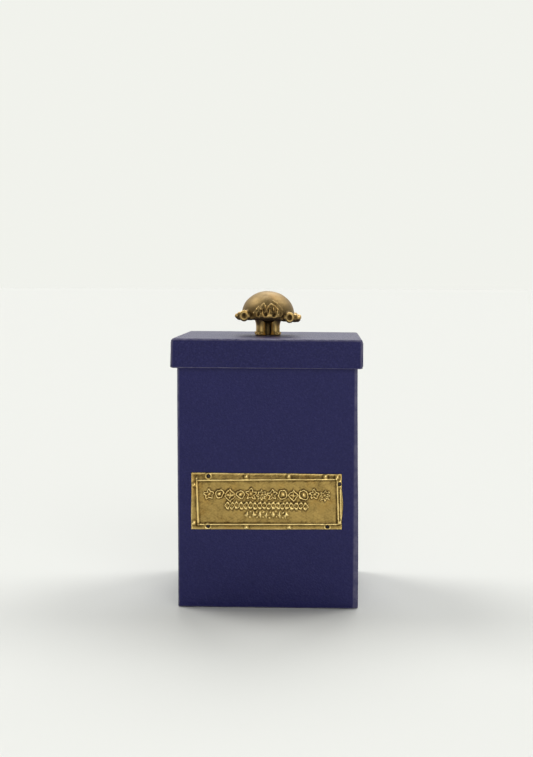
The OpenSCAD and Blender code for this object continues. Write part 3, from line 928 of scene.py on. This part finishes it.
def hoop(centre, radius, thick, tall):
    """A ring that faces forward, tall times higher than it is wide."""
    def distance(x, y, z):
        flat = np.hypot(x - centre[0], (z - centre[2]) / tall) - radius
        return np.hypot(flat, y - centre[1]) - thick
    reach = np.array([radius + thick, thick, (radius + thick) * tall])
    return distance, np.array(centre) - reach, np.array(centre) + reach


def below(level):
    """Everything under a level."""
    big = np.array([60.0, 60.0, 0])
    return (lambda x, y, z: z - level + 0 * x + 0 * y), -big - (0, 0, 60), big + (0, 0, level)


SHELL = np.array([12.3, 15.5, 10.8])        # the shell's half width, half length and height over its middle
SHELL_Z = 10.0                              # the middle's height over the lid
CAP_FLOOR = 7.5                             # the tortoise's underside over the lid
CAP_LEAN = math.radians(-2.0)               # the tortoise sits lower on its right
CAST_STEP = 0.2                             # spacing of the clay's grid
SHAFT_RING = 4.75                           # radius of the ring that the post's shafts stand on
GROOVE_RING = 7                             # and of the ring that the grooves between them are cut on
POST_TURN = math.radians(5)


def on_shell(x, z, proud=0.15):
    """The place on the shell's front that lies at x and height z."""
    room = 1 - (x / SHELL[0]) ** 2 - ((z - SHELL_Z) / SHELL[2]) ** 2
    return (x, -(SHELL[1] + proud) * math.sqrt(max(room, 0.02)), z)


def add_strand(clay, places, thick, soft=0.25):
    """A raised line over the shell's front through some places, thinner at its ends."""
    spots = [on_shell(x, z) for x, z in places]
    for i, (start, end) in enumerate(zip(spots, spots[1:])):
        first = thick * (0.7 if i == 0 else 1)
        last = thick * (0.55 if i == len(spots) - 2 else 1)
        clay.add(rod(start, end, first, last), soft)


def add_foot(clay, side, end, heavy):
    """A short leg that ends in a ring-shaped claw with knuckles outside it. end is -1 at the front."""
    x, y = side * 10.55, end * 12.6
    clay.add(rod((side * 7.5, end * 7, 9.4), (x, end * 11.4, 9.1), 2.5, 2.1), 0.9)
    heel = (side * (13.4 + 0.7 * heavy), end * 11.4, 8.5)
    clay.add(rod((x, end * 11, 8.9), heel, 1.9, 1.15 + 0.35 * heavy), 0.6)
    clay.add(bead((side * 12.7, end * 12.1, 9.8), (1.0, 1.3, 1.05)), 0.3)
    clay.add(bead((side * (14.0 + 0.3 * heavy), end * 11.9, 8.9), (0.95 + 0.25 * heavy, 1.2, 1.05)), 0.3)
    clay.add(rod((side * 4.5, end * 12.4, 8.1), (side * 12.8, end * 11.6, 7.9), 0.75, 0.95), 0.6)
    clay.add(hoop((x, y + end * 0.5, 9.0), 1.45, 0.82, 1.15), 0.3)
    clay.cut(bead((x, y + end * 1.7, 9.1), (0.6, 1.35, 1.25)), 0.3)
    clay.add(bead((side * 8.4, end * 12.7, 8.8), (0.95, 1.2, 1.3)), 0.35)
    clay.cut(rod((side * 13.3, end * 13.4, 10.9), (side * 13.5, end * 13.2, 7.6), 0.3, 0.3), 0.2)


def shell_marks(clay):
    """The folded collar round the drawn-in head: pointed arches, a gable over them and pleats."""
    clay.add(bead(on_shell(0.5, 9.6, -1.1), (5.6, 2.3, 2.0)), 1.2)
    for x, z, wide, tall in ((-2.1, 12.2, 1.0, 1.7), (2.3, 12.3, 1.7, 1.8), (-3.9, 10.2, 0.7, 1.1),
                             (6.4, 10.6, 0.7, 1.2), (3.4, 10.2, 0.8, 1.1), (-0.5, 10.3, 0.7, 1.0)):
        clay.cut(bead(on_shell(x, z, 0.85), (wide, 1.15, tall)), 0.6)
    add_strand(clay, [(2.6, 16.3), (4.3, 15.2), (7.2, 12.3)], 0.42)
    add_strand(clay, [(-4.9, 10.2), (-3.6, 12.6), (-1.7, 15.0), (-0.9, 13.8), (-0.2, 12.2)], 0.34)
    add_strand(clay, [(-0.2, 12.2), (0.8, 13.9), (1.8, 14.9), (3.6, 14.0), (5.0, 12.5), (6.2, 10.0)], 0.34)
    add_strand(clay, [(-5.9, 10.6), (-4.9, 12.2), (-3.9, 13.6)], 0.34)
    add_strand(clay, [(-2.4, 12.9), (-1.8, 11.0), (-1.6, 9.0)], 0.38)
    add_strand(clay, [(2.2, 13.4), (2.2, 11.2), (1.9, 8.8)], 0.38)
    add_strand(clay, [(3.6, 12.9), (4.1, 11.0), (3.9, 8.8)], 0.38)
    for x, z, wide, tall in ((1.35, 11.3, 0.44, 1.35), (-2.0, 10.2, 0.5, 1.45), (4.8, 10.9, 0.5, 1.3),
                             (3.0, 12.4, 0.36, 1.1), (-2.9, 12.4, 0.34, 0.8), (3.8, 9.2, 0.5, 0.9),
                             (-3.3, 8.9, 0.5, 0.9), (0.2, 9.0, 0.5, 0.8), (-0.9, 8.6, 0.4, 0.6)):
        clay.add(bead(on_shell(x, z, 0.35), (wide, 0.9, tall)), 0.22)
    for start, end in (((-6.3, 10.6), (-4.5, 7.8)), ((-5.2, 10.6), (-3.6, 7.7)), ((7.0, 10.4), (5.2, 7.8)),
                       ((5.9, 9.2), (4.4, 7.7)), ((-1.7, 9.0), (-1.5, 7.6)), ((2.3, 9.4), (2.0, 7.6))):
        add_strand(clay, [start, end], 0.42)


def batter(clay, blows):
    """Uneven casting and worn places: low swellings and hollows, a few tenths of a millimetre deep."""
    chance = np.random.default_rng(11)
    for _ in range(blows):
        centre = chance.uniform(-1, 1, 3) * (13, 16, 6) + (0, 0, 14)
        reach = chance.uniform(1.6, 3.4)
        x, y, z = (np.exp(-((axis - c) / reach) ** 2) for axis, c in zip(clay.axes, centre))
        depth = chance.uniform(-0.16, 0.16)
        clay.field += (depth * x[:, None, None] * y[None, :, None] * z[None, None, :]).astype(np.float32)


def tortoise():
    """The domed casting, modelled level and then leant a little to the right."""
    clay = Clay((-17.5, -18.5, 4.5), (17.5, 18.5, 22.5), CAST_STEP)
    clay.add(bead((0, 0, SHELL_Z), SHELL), 0.3)
    clay.add(bead((0, 0, 8.3), (12.35, 15.4, 1.1)), 0.8)
    clay.cut(below(CAP_FLOOR), 0.5)
    clay.cut(bead((0, 0, 6.2), (10.2, 12.6, 2.6)), 0.6)
    clay.add(bead((0, 0, 7.6), (6.6, 6.6, 2.2)), 1.0)
    clay.add(bead((-0.1, -14.2, 9.2), (2.3, 2.6, 1.9)), 0.6)
    clay.add(rod((0, 13.6, 8.8), (0, 17.2, 8.2), 1.4, 0.5), 0.5)
    shell_marks(clay)
    for side in (-1, 1):
        for end in (-1, 1):
            add_foot(clay, side, end, heavy=1 if side > 0 else 0)
    batter(clay, 70)
    return clay


def post():
    """Four round shafts bound round a core, on a spread foot, opening into the cap above."""
    clay = Clay((-8.5, -8.5, -1), (8.5, 8.5, 10.5), CAST_STEP)
    clay.add(rod((0, 0, -3), (0, 0, 12), 2.3, 2.3), 0.3)
    angles = [POST_TURN + math.radians(45 + 90 * quarter) for quarter in range(4)]
    shafts = [(angle, SHAFT_RING * math.cos(angle), SHAFT_RING * math.sin(angle)) for angle in angles]
    for angle, x, y in shafts:
        clay.add(rod((x, y, -3), (x, y, 12), 2.1, 2.05), 0.35)
        clay.add(bead((x * 1.03, y * 1.03, 0.5), (2.45, 2.45, 1.05)), 0.35)
        for swing in (-50, 0, 50):
            a = angle + math.radians(swing)
            knot = (x + 2.15 * math.cos(a), y + 2.15 * math.sin(a), 1.0)
            clay.add(bead(knot, (0.62, 0.62, 0.75)), 0.25)
    for angle, x, y in shafts:
        between = angle + math.pi / 4
        gx, gy = GROOVE_RING * math.cos(between), GROOVE_RING * math.sin(between)
        clay.add(rod((x, y, 5.6), (x * 1.4, y * 1.4, 8.8), 1.7, 2.1), 1.0)
        clay.cut(rod((gx, gy, 0.9), (gx, gy, 6.2), 2.6, 2.6), 0.5)
    clay.add(bead((0, 0, 9.2), (8.0, 8.0, 1.9)), 1.2)
    clay.cut(below(0.0), 0.1)
    return clay


def cast_piece(name, clay, node, lean=0.0, polish=0.38):
    """Turns clay into brass: each point knows how far it stands proud of what is round it, with painted shade
    under the tortoise's cap and in the post's core.
    """
    spots, faces = clay.surface()
    fine = clay.sampled(blurred(clay.field, 8), spots)
    broad = clay.sampled(blurred(clay.field, 60), spots)
    proud = polish + 1.5 * fine + 0.4 * broad
    points = clay.low + spots * clay.step
    if lean:
        # Painted shade: darker low down under the tortoise's cap, but not out at its feet.
        shade = smooth_step(points[:, 2], CAP_FLOOR - 0.6, CAP_FLOOR + 1.2)
        shade = np.maximum(shade, smooth_step(np.hypot(points[:, 0], points[:, 1]), 13.0, 15.5))
    else:
        # Painted shade: darker in the post's core between its shafts.
        shade = smooth_step(np.hypot(points[:, 0], points[:, 1]), 3.0, 5.2)
    proud = np.clip(proud, 0, 1) * (0.3 + 0.7 * shade)
    x, z = points[:, 0].copy(), points[:, 2] - CAP_FLOOR
    points[:, 0] = x * math.cos(lean) - z * math.sin(lean)
    points[:, 2] = CAP_FLOOR + x * math.sin(lean) + z * math.cos(lean)
    points += (KNOB_X, 0, LID_TOP)
    piece = piece_from(name, points, faces, FINISHES["knob_brass"], {"proud": proud})
    face_outward(piece)
    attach(piece, "lid")
    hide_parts(node)


body_skin()
lid_skin()
laps()
plaque_sheet()
plaque_pins()
cast_piece("tortoise", tortoise(), "knob_tortoise", CAP_LEAN)
# The post's higher level is partly polish and partly a painted lift that lightens its lobes where the cap
# shades them.
cast_piece("post", post(), "knob_post", polish=0.78)


# ---------------------------------------------------------------- stage, lights and camera

PAPER = (0.88, 0.89, 0.84)
FLOOR = (0.772, 0.778, 0.738)
FLOOR_HALF = 20000.0                        # in millimetres
SKY_TINT = (0.98, 0.99, 1.0)
SKY_FRONT, SKY_BACK = 0.14, 0.85            # the sky's light from the front and from behind
VIEW_PLACE = (0.0235, -0.6247, 0.1473)      # in metres
VIEW_DOWN, VIEW_ROLL, VIEW_LEFT = 4.29, -0.16, 2.32     # the camera's turns, in degrees
VIEW_LENS, VIEW_SENSOR = 62.95, 36          # in millimetres, the sensor's size up and down


def stage_floor():
    """A wide pale floor."""
    half = FLOOR_HALF
    corners = [(-half, -half, 0), (half, -half, 0), (half, half, 0), (-half, half, 0)]
    f = Finish("floor_paper")
    finish = f.surface(FLOOR, 0.95, Specular_IOR_Level=0.0)
    floor = piece_from("floor", corners, [(0, 1, 2, 3)], finish)


def sky():
    """An even pale backdrop to look at; its light is dim from the front and stronger from behind."""
    world = bpy.data.worlds.new("studio")
    world.use_nodes = True
    bpy.context.scene.world = world
    add = Tree(world.node_tree)
    shown = add("ShaderNodeBackground", {"Color": (*PAPER, 1), "Strength": 1.0})
    way = add("ShaderNodeSeparateXYZ", {0: add("ShaderNodeTexCoord").outputs["Generated"]}).outputs
    behind = add("ShaderNodeMapRange", {"Value": way[1], "From Min": 0.3, "From Max": 0.95,
                                        "To Min": SKY_FRONT, "To Max": SKY_BACK},
                 interpolation_type="SMOOTHSTEP")
    cast = add("ShaderNodeBackground", {"Color": (*SKY_TINT, 1), "Strength": behind})
    seen = add("ShaderNodeLightPath").outputs["Is Camera Ray"]
    both = add("ShaderNodeMixShader", {0: seen, 1: cast, 2: shown})
    add.feed(world.node_tree.nodes["World Output"].inputs["Surface"], both)


def sun(name, strength, spread, away, height):
    """A soft sun. away is its turn to the right from straight behind and height its climb, in degrees."""
    light = bpy.data.lights.new(name, "SUN")
    light.energy = strength
    light.angle = math.radians(spread)
    lamp = bpy.data.objects.new(name, light)
    lamp.rotation_euler = (math.radians(height - 90), 0, -math.radians(away))
    bpy.context.scene.collection.objects.link(lamp)


def camera():
    lens = bpy.data.cameras.new("camera")
    lens.sensor_fit = "VERTICAL"
    lens.sensor_height = VIEW_SENSOR
    lens.lens = VIEW_LENS
    lens.clip_start = 0.01
    lens.clip_end = 50
    view = bpy.data.objects.new("camera", lens)
    view.location = VIEW_PLACE
    view.rotation_euler = (math.radians(90 - VIEW_DOWN), math.radians(VIEW_ROLL), math.radians(VIEW_LEFT))
    bpy.context.scene.collection.objects.link(view)
    bpy.context.scene.camera = view


stage_floor()
sky()
sun("back_left", 1.2, 32, -60, 50)
sun("back", 1.05, 32, 4, 48)
sun("back_right", 1.05, 32, 57, 50)
sun("front", 0.95, 50, 168, 25)
camera()

scene = bpy.context.scene
scene.view_settings.view_transform = "Standard"
scene.view_settings.look = "None"
